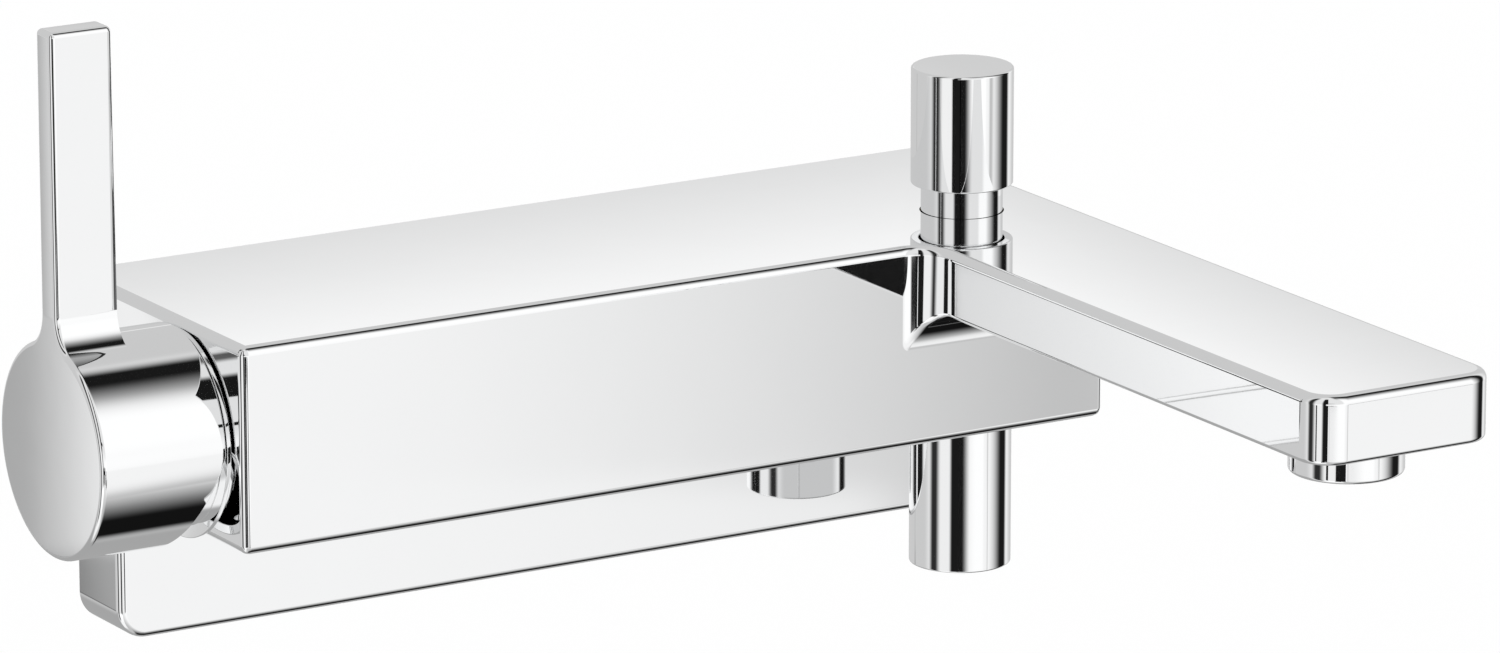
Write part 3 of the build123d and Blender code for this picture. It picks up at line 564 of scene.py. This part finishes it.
dress(buildHandle(lever), "lever", "chrome", "handle")


# turned pieces, each with its profile as (radius, height, rounding)
rimSteps = 8
fineEdge = 0.2 * mm
stemHole = 3.05 * mm  # the diverter's stem passes the neck and ends in the knob


def turn(name, node, body, profile, along="Z", ring=True):
    centre = middleOf(node) if along == "Z" else middleOf(node, "y", "z")
    dress(freeze(spin(newMesh(), profile, centre, along, ring), name), body, "chrome", node)


diverterKnob = dict(
    radius=12.5 * mm, rim=0.6 * mm, foot=0.4 * mm, bore=10.5 * mm, boreDepth=13.2 * mm, stemGrip=10 * mm,
)


def buildDiverterKnob(c):
    low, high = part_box("diverter_knob")
    deep = low.z + c["boreDepth"]
    turn("diverterKnob", "diverter_knob", "diverter", roundOff([
        (0, high.z, 0), (c["radius"], high.z, c["rim"]), (c["radius"], low.z, c["foot"]),
        (c["bore"], low.z, fineEdge), (c["bore"], deep, 0),
        (stemHole, deep, 0), (stemHole, deep + c["stemGrip"], 0),
    ], rimSteps)[1:], ring=False)


buildDiverterKnob(diverterKnob)

diverterNeck = dict(radius=10 * mm, rim=0.3 * mm, cavity=6.5 * mm, roof=2.5 * mm)


def buildDiverterNeck(c):
    low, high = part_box("diverter_bonnet")
    roof = high.z - c["roof"]
    turn("diverterNeck", "diverter_bonnet", "fixture", roundOff([
        (c["radius"], high.z, c["rim"]), (c["radius"], low.z, 0), (c["cavity"], low.z, 0),
        (c["cavity"], roof, 0), (stemHole, roof, 0), (stemHole, high.z, fineEdge),
    ], rimSteps))


buildDiverterNeck(diverterNeck)

outletColumn = dict(
    radius=12.5 * mm, rim=0.4 * mm, head=0.3 * mm, spigot=10 * mm,
    thread=9.5 * mm, threadCut=0.8 * mm, threadLead=0.9 * mm, threadLength=12 * mm, threadPitch=1.814 * mm,
    valveBore=8.55 * mm, valveLength=20 * mm, seatBore=5.5 * mm,
)


def buildOutletColumn(c):
    low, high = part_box("outlet_column")
    shelf = low.z + c["threadLength"]
    valveTop = shelf + c["valveLength"]
    outside = roundOff([
        (c["spigot"], high.z, 0), (c["spigot"], bodyLow.z, 0), (c["radius"], bodyLow.z, c["head"]),
        (c["radius"], low.z, c["rim"]), (c["thread"] + c["threadLead"], low.z, 0),
    ], rimSteps)
    thread = threadRows(c["thread"], c["threadCut"], low.z + c["threadLead"], shelf, c["threadPitch"])
    inside = [
        (c["valveBore"], shelf), (c["valveBore"], valveTop),
        (c["seatBore"], valveTop), (c["seatBore"], high.z),
    ]
    turn("outletColumn", "outlet_column", "fixture", outside + thread + inside)


buildOutletColumn(outletColumn)

handleCollar = dict(
    radius=22 * mm, rim=1.5 * mm, bore=12.85 * mm, step=2.5 * mm, seat=20.55 * mm,
    flangeRadius=25.2 * mm, flange=0.55 * mm,
)


def buildHandleCollar(c):
    low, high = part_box("handle_collar")
    step, flange = low.x + c["step"], high.x - c["flange"]
    turn("handleCollar", "handle_collar", "fixture", roundOff([
        (c["flangeRadius"], high.x, 0), (c["flangeRadius"], flange, fineEdge),
        (c["radius"], flange, fineEdge), (c["radius"], low.x, c["rim"]), (c["bore"], low.x, fineEdge),
        (c["bore"], step, 0), (c["seat"], step, 0), (c["seat"], high.x, 0),
    ], rimSteps), "X")


buildHandleCollar(handleCollar)

aeratorRing = dict(
    radius=13.5 * mm, rim=0.9 * mm, thread=12 * mm, insertBore=10.4 * mm, lipBore=9.5 * mm, lipHeight=1 * mm,
)


def buildAeratorRing(c):
    low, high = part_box("aerator_housing")
    shoulder, lip = bodyHigh.z - casting["spoutThickness"], low.z + c["lipHeight"]
    turn("aeratorRing", "aerator_housing", "fixture", roundOff([
        (c["insertBore"], high.z, 0), (c["thread"], high.z, 0), (c["thread"], shoulder, 0),
        (c["radius"], shoulder, fineEdge), (c["radius"], low.z, c["rim"]),
        (c["lipBore"], low.z, fineEdge), (c["lipBore"], lip, 0), (c["insertBore"], lip, 0),
    ], rimSteps))


buildAeratorRing(aeratorRing)


# offset unions that screw into the wall
union = dict(
    plateRadius=17.5 * mm, plate=7.5 * mm, plateRim=0.8 * mm, offset=3.1 * mm, steps=6, around=96,
    stub=10.48 * mm, stubCut=-1.16 * mm, stubLead=0.9 * mm, pitch=1.814 * mm, stubBore=7 * mm,
    nipple=13.2 * mm, nippleBore=8 * mm, bite=1 * mm,
)


def buildUnion(c, node, name):
    low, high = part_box(node)
    x, plateZ = (low.x + high.x) / 2, low.z + c["plateRadius"]
    stubAt, nippleAt = (x, plateZ + c["offset"]), (x, plateZ - c["offset"])
    start, bite = -c["plate"], c["bite"]
    plate = roundOff([
        (0, start, 0), (c["plateRadius"], start, c["plateRim"]),
        (c["plateRadius"], 0, c["plateRim"]), (0, 0, 0),
    ], c["steps"])[1:-1]
    bm = spin(newMesh(), plate, (x, plateZ), "Y")
    end = high.y - c["stubLead"]
    stub = [(c["stub"], -bite), *threadRows(c["stub"], c["stubCut"], 0.0, end, c["pitch"]),
            (c["stub"] - c["stubLead"], high.y)]
    return freeze(bm, name, joins=[
        spin(newMesh(), stub, stubAt, "Y", steps=c["around"]),
        rod(c["nipple"], low.y, start + bite, nippleAt, "Y"),
    ], cuts=[
        rod(c["stubBore"], start / 2, high.y + bite, stubAt, "Y"),
        rod(c["nippleBore"], low.y - bite, start / 2, nippleAt, "Y"),
    ])


for side in ("Hot", "Cold"):
    unionNode = "s_union_" + side.lower()
    dress(buildUnion(union, unionNode, "wallUnion" + side), "fixture", "brass", unionNode)


# springs inside the neck and the outlet
springs = dict(
    diverterSpring=dict(
        node="diverter_spring", joint="diverter_lift", travel=8.05 * mm, held="high",
        coil=4.7 * mm, wire=0.4 * mm, turns=8, steps=32, sides=12,
    ),
    checkSpring=dict(
        node="check_spring", joint="check_open", travel=3.05 * mm, held="low",
        coil=3.2 * mm, wire=0.3 * mm, turns=7, steps=32, sides=12,
    ),
)


def buildSpring(c, name):
    low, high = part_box(c["node"])
    middle = middleOf(c["node"])
    pitch = (high.z - low.z - 2 * c["wire"]) / c["turns"]
    slope = math.atan2(pitch, math.tau * c["coil"])
    lean = math.sin(slope)
    rounds = [math.tau * side / c["sides"] for side in range(c["sides"])]
    bm = newMesh()
    rows = []
    for step in range(c["turns"] * c["steps"] + 1):
        angle = math.tau * step / c["steps"]
        outward = Vector((math.cos(angle), math.sin(angle), 0))
        upward = Vector((lean * math.sin(angle), -lean * math.cos(angle), math.cos(slope)))
        core = Vector((*middle, low.z + c["wire"] + pitch * step / c["steps"])) + outward * c["coil"]
        section = [core + (outward * math.cos(t) + upward * math.sin(t)) * c["wire"] for t in rounds]
        rows.append(addLoop(bm, section))
    for first, second in zip(rows, rows[1:]):
        bridge(bm, first, second)
    bm.faces.new(rows[0])
    bm.faces.new(rows[-1])
    piece = freeze(bm, name)
    dress(piece, "fixture", "stainless", c["node"])
    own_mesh(piece)


for springName, spring in springs.items():
    buildSpring(spring, springName)


# studio: pale floor, black cards, a world with soft white panels and dark gaps, camera
studio = dict(
    floorDrop=0.32, floorSize=8.0, floorColour=(0.95, 0.95, 0.95),
    cardColour=(0.012, 0.012, 0.012), fill=1.05,
)


def sheet(name, paintName, corners, colour, clearing):
    bm = bmesh.new()
    bm.faces.new(addLoop(bm, corners))
    mesh = bpy.data.meshes.new(name)
    bm.to_mesh(mesh)
    bm.free()
    piece = bpy.data.objects.new(name, mesh)
    bpy.context.scene.collection.objects.link(piece)
    paint = bpy.data.materials.new(paintName)
    paint.use_nodes = True
    kit = NodeKit(paint.node_tree)
    matt = kit.add("ShaderNodeBsdfDiffuse", {}, {"Color": (*colour, 1)})
    clear = kit.add("ShaderNodeBsdfTransparent")
    mixed = kit.add("ShaderNodeMixShader", {}, {0: clearing(kit), 1: matt, 2: clear})
    kit.add("ShaderNodeOutputMaterial", {}, {"Surface": mixed})
    mesh.materials.append(paint)
    return piece


def buildFloor(s):
    half, level = s["floorSize"] / 2, cadBounds[0].z - s["floorDrop"]
    corners = [(-half, -half, level), (half, -half, level), (half, half, level), (-half, half, level)]

    def fromBelow(kit):  # there the floor lets the view through
        return kit.add("ShaderNodeNewGeometry", out=6)

    floor = sheet("floor", "floorPaint", corners, s["floorColour"], fromBelow)
    floor.visible_glossy = False  # polished metal sees the studio, not the floor


buildFloor(studio)

# matt black cards to the left, for the outlet, the spout's root and the casting's left edge; only the metal
# sees them; ends in plan, heights, and the stretch along the card where it fades to clear, or past its end
cards = [
    dict(ends=((-0.1419, -0.3776), (0.0330, -0.4706)), heights=(-0.18, -0.124), fade=(0.058, 0.193)),
    dict(ends=((-0.1295, -0.3842), (-0.0872, -0.4067)), heights=(-0.124, -0.06), fade=(1, 2)),
    dict(ends=((-0.285, -0.334), (-0.199, -0.334)), heights=(-0.125, -0.035), fade=(1, 2)),
]


def buildCard(c, colour):
    (startX, startY), (endX, endY) = c["ends"]
    length = math.hypot(endX - startX, endY - startY)
    low, high = c["heights"]
    corners = [(0, 0, low), (length, 0, low), (length, 0, high), (0, 0, high)]

    def fadeOut(kit):
        place = kit.add("ShaderNodeTexCoord", out=3)
        return kit.ramp(kit.dot(place, (1, 0, 0)), *c["fade"])

    card = sheet("blackCard", "cardPaint", corners, colour, fadeOut)
    card.location = (startX, startY, 0)
    card.rotation_euler = (0, 0, math.atan2(endY - startY, endX - startX))
    card.visible_camera = False
    card.visible_diffuse = False
    card.visible_shadow = False


for cardSettings in cards:
    buildCard(cardSettings, studio["cardColour"])
print("floor and cards ready")


# what polished metal mirrors; bearings and heights in degrees, from the front, plus to the right and up
class SkyKit(NodeKit):
    def __init__(self, tree):
        super().__init__(tree)
        self.ray = self.add("ShaderNodeTexCoord", out=0)
        self.rise = self.along((0, 0, 1))
        around = self.maths("ARCTAN2", self.along((1, 0, 0)), self.along((0, -1, 0)))
        self.bearing = self.maths("DEGREES", around)
        self.height = self.maths("DEGREES", self.maths("ARCSINE", self.rise))

    def along(self, direction):
        return self.dot(self.ray, direction)

    def maths(self, operation, *values):
        return self.add("ShaderNodeMath", {"operation": operation}, dict(enumerate(values)))

    def within(self, value, span):  # rises over the first two numbers and falls over the last two
        return self.ramp(value, span[0], span[1]) * self.ramp(value, span[3], span[2])

    def patch(self, c):
        return self.within(self.bearing, c["bearings"]) * self.within(self.height, c["heights"])


def lay(under, weight, over):
    return under + weight * (over - under)


frontPanel = dict(level=1.06, fall=0.5, heights=(12, -48), curve=1.5)  # dimmer towards the ground
upperPanel = dict(dim=0.24, heights=(-4, 10), strip=(12, 21, 37, 50))  # dimmer above, apart from a strip
rearPanel = dict(level=0.61, fall=0.22, heights=(-17.2, -26), bearings=(96, 122))  # behind, on both sides
brightPanels = [
    dict(lift=0.15, bearings=(-25, 5, 18, 34), heights=(-40, -20, -10, 5)),  # in front
    dict(lift=0.42, bearings=(-125, -105, -44, -37), heights=(-75, -62, -27, -21)),  # low on the left
]


def panelLight(sky, front, upper, rear, bright):
    fall = sky.ramp(sky.height, *front["heights"], "LINEAR") ** front["curve"]
    light = front["level"] - front["fall"] * fall
    beside = 1.0 - sky.within(sky.bearing, upper["strip"])
    light = light - upper["dim"] * sky.ramp(sky.height, *upper["heights"]) * beside
    for panel in bright:
        light = light + panel["lift"] * sky.patch(panel)
    behind = sky.ramp(sky.maths("ABSOLUTE", sky.bearing), *rear["bearings"])
    return lay(light, behind, rear["level"] - rear["fall"] * sky.ramp(sky.height, *rear["heights"]))


# in the level faces: bright in front, greyer towards the wall
topTone = dict(
    level=0.646, lift=0.32, rise=(-0.62, 0.55), curve=1.3,
    bearing=147.8, height=13.87, lean=0.256, skew=0.114,
    bearings=(128, 136, 160, 168), heights=(12.4, 13.1, 15.5, 16.3),
)


def topLight(sky, c):
    away = c["bearing"] - sky.bearing
    climb = sky.height - c["height"] - c["lean"] * sky.maths("ABSOLUTE", away) - c["skew"] * away
    return c["level"] + c["lift"] * sky.ramp(climb, *c["rise"], "LINEAR") ** c["curve"]


# in the front faces: greyer to the right, but not on the spout's end and less on the apron
frontTone = dict(
    level=0.955, depth=0.40, sink=(28.0, 33.06), curve=1.8,
    endBearings=(33.2, 34.4), endHeights=(-14.78, -14.92),
    apronLift=0.7, apronBearings=(32.3, 31.7), apronHeights=(-18.5, -17.2, -16.0, -15.75),
    bearings=(20, 27, 36, 44), heights=(-40, -30, -12.5, -10),
)


def frontLight(sky, c):
    sink = sky.ramp(sky.bearing, *c["sink"], "LINEAR") ** c["curve"]
    spoutEnd = sky.ramp(sky.bearing, *c["endBearings"]) * sky.ramp(sky.height, *c["endHeights"])
    onApron = sky.within(sky.height, c["apronHeights"]) * sky.ramp(sky.bearing, *c["apronBearings"])
    return c["level"] - c["depth"] * sink * (1.0 - spoutEnd) * (1.0 - c["apronLift"] * onApron)


# in the faces at the left: graded on the knob, darker on the apron's end
leftTone = dict(
    level=0.41, lift=0.51, rise=(-153.4, -152.85), apronDim=0.59, apronHeights=(-16.15, -16.4),
    bearings=(-157, -154, -152.6, -152.3), heights=(-20, -18, -12, -9),
)


def leftLight(sky, c):
    shine = c["level"] + c["lift"] * sky.ramp(sky.bearing, *c["rise"], "LINEAR")
    return shine * (1.0 - c["apronDim"] * sky.ramp(sky.height, *c["apronHeights"]))


# in the spout's side, by way of the front face
sideTone = dict(
    level=0.73, lift=0.30, rise=(-32.0, -34.3), bearings=(-38, -36, -32, -28), heights=(-22, -19, -11, -8),
)


def sideLight(sky, c):
    return c["level"] + c["lift"] * sky.ramp(sky.bearing, *c["rise"], "LINEAR")


gapRight = dict(  # near and far are sines off its middle, facing is a cosine
    black=0.988, bearing=83, near=(0.70, 0.16), far=(0.24, 0.05), slant=0.08, facing=(0.0, 0.15),
)
gapLeft = dict(  # the slit is a lit part of the gap
    black=0.988, bearings=(-58, -50, -35.4, -34.9), heights=(-27, -20, 60, 75),
    slitBearings=(-44, -40), slitHeights=(-9.5, -7.5, 5, 9),
)
diverterBearings = (-38, -36.5, -27, -8)
darkPatches = [
    dict(black=0.97, bearings=(-108, -97, -89.5, -76), heights=(-48, -38, 60, 75)),  # gap towards the wall
    dict(black=0.98, bearings=(-31, -27, -11, -3), heights=(-15.08, -15.02, -14.3, -14.2)),  # spout's root
    dict(black=0.988, bearings=diverterBearings, heights=(-14.35, -14.2, -11, -10)),  # its knob and neck
    dict(black=0.988, bearings=diverterBearings, heights=(12.4, 13.2, 15.4, 16.2)),  # by way of the top
]


def rightShade(sky, c):
    middle = math.radians(c["bearing"])
    aim = sky.along((math.sin(middle), -math.cos(middle), 0))
    offset = sky.along((math.cos(middle), math.sin(middle), 0))
    between = sky.ramp(c["slant"] * sky.rise - offset, *c["near"]) * sky.ramp(offset, *c["far"])
    return c["black"] * between * sky.ramp(aim, *c["facing"])


def leftShade(sky, c):
    slit = sky.within(sky.height, c["slitHeights"]) * sky.ramp(sky.bearing, *c["slitBearings"])
    return c["black"] * sky.patch(c) * (1.0 - slit)


def buildWorld(s):
    world = bpy.data.worlds.new("studio")
    bpy.context.scene.world = world
    world.use_nodes = True
    sky = SkyKit(world.node_tree)
    light = panelLight(sky, frontPanel, upperPanel, rearPanel, brightPanels)
    for lightOf, tone in (
        (topLight, topTone), (frontLight, frontTone), (leftLight, leftTone), (sideLight, sideTone),
    ):
        light = lay(light, sky.patch(tone), lightOf(sky, tone))
    shades = [rightShade(sky, gapRight), leftShade(sky, gapLeft)]
    shades += [dark["black"] * sky.patch(dark) for dark in darkPatches]
    for shade in shades:
        light = light * (1.0 - shade)
    straight = sky.add("ShaderNodeLightPath", out=0)  # the camera sees plain white
    mirrored = sky.add("ShaderNodeLightPath", out=3)  # matt pieces get an even fill instead
    strength = lay(lay(s["fill"], mirrored, light), straight, 1.0)
    glow = sky.add("ShaderNodeBackground", {}, {"Color": (1, 1, 1, 1), "Strength": strength})
    sky.add("ShaderNodeOutputWorld", {}, {"Surface": glow})


buildWorld(studio)
print("world ready")

camera = dict(
    place=(-1.11141, -1.95536, 0.59347), bearing=31.12, dip=14.909, lens=228.44, sensor=36, clipEnd=50,
)


def buildCamera(c):
    data = bpy.data.cameras.new("photoView")
    data.lens = c["lens"]
    data.sensor_width = c["sensor"]
    data.sensor_fit = "HORIZONTAL"
    data.clip_end = c["clipEnd"]
    eye = bpy.data.objects.new("photoView", data)
    bpy.context.scene.collection.objects.link(eye)
    eye.location = c["place"]
    eye.rotation_euler = (math.radians(90 - c["dip"]), 0, -math.radians(c["bearing"]))
    bpy.context.scene.camera = eye


buildCamera(camera)
bpy.context.scene.view_settings.view_transform = "Standard"
print("studio ready")
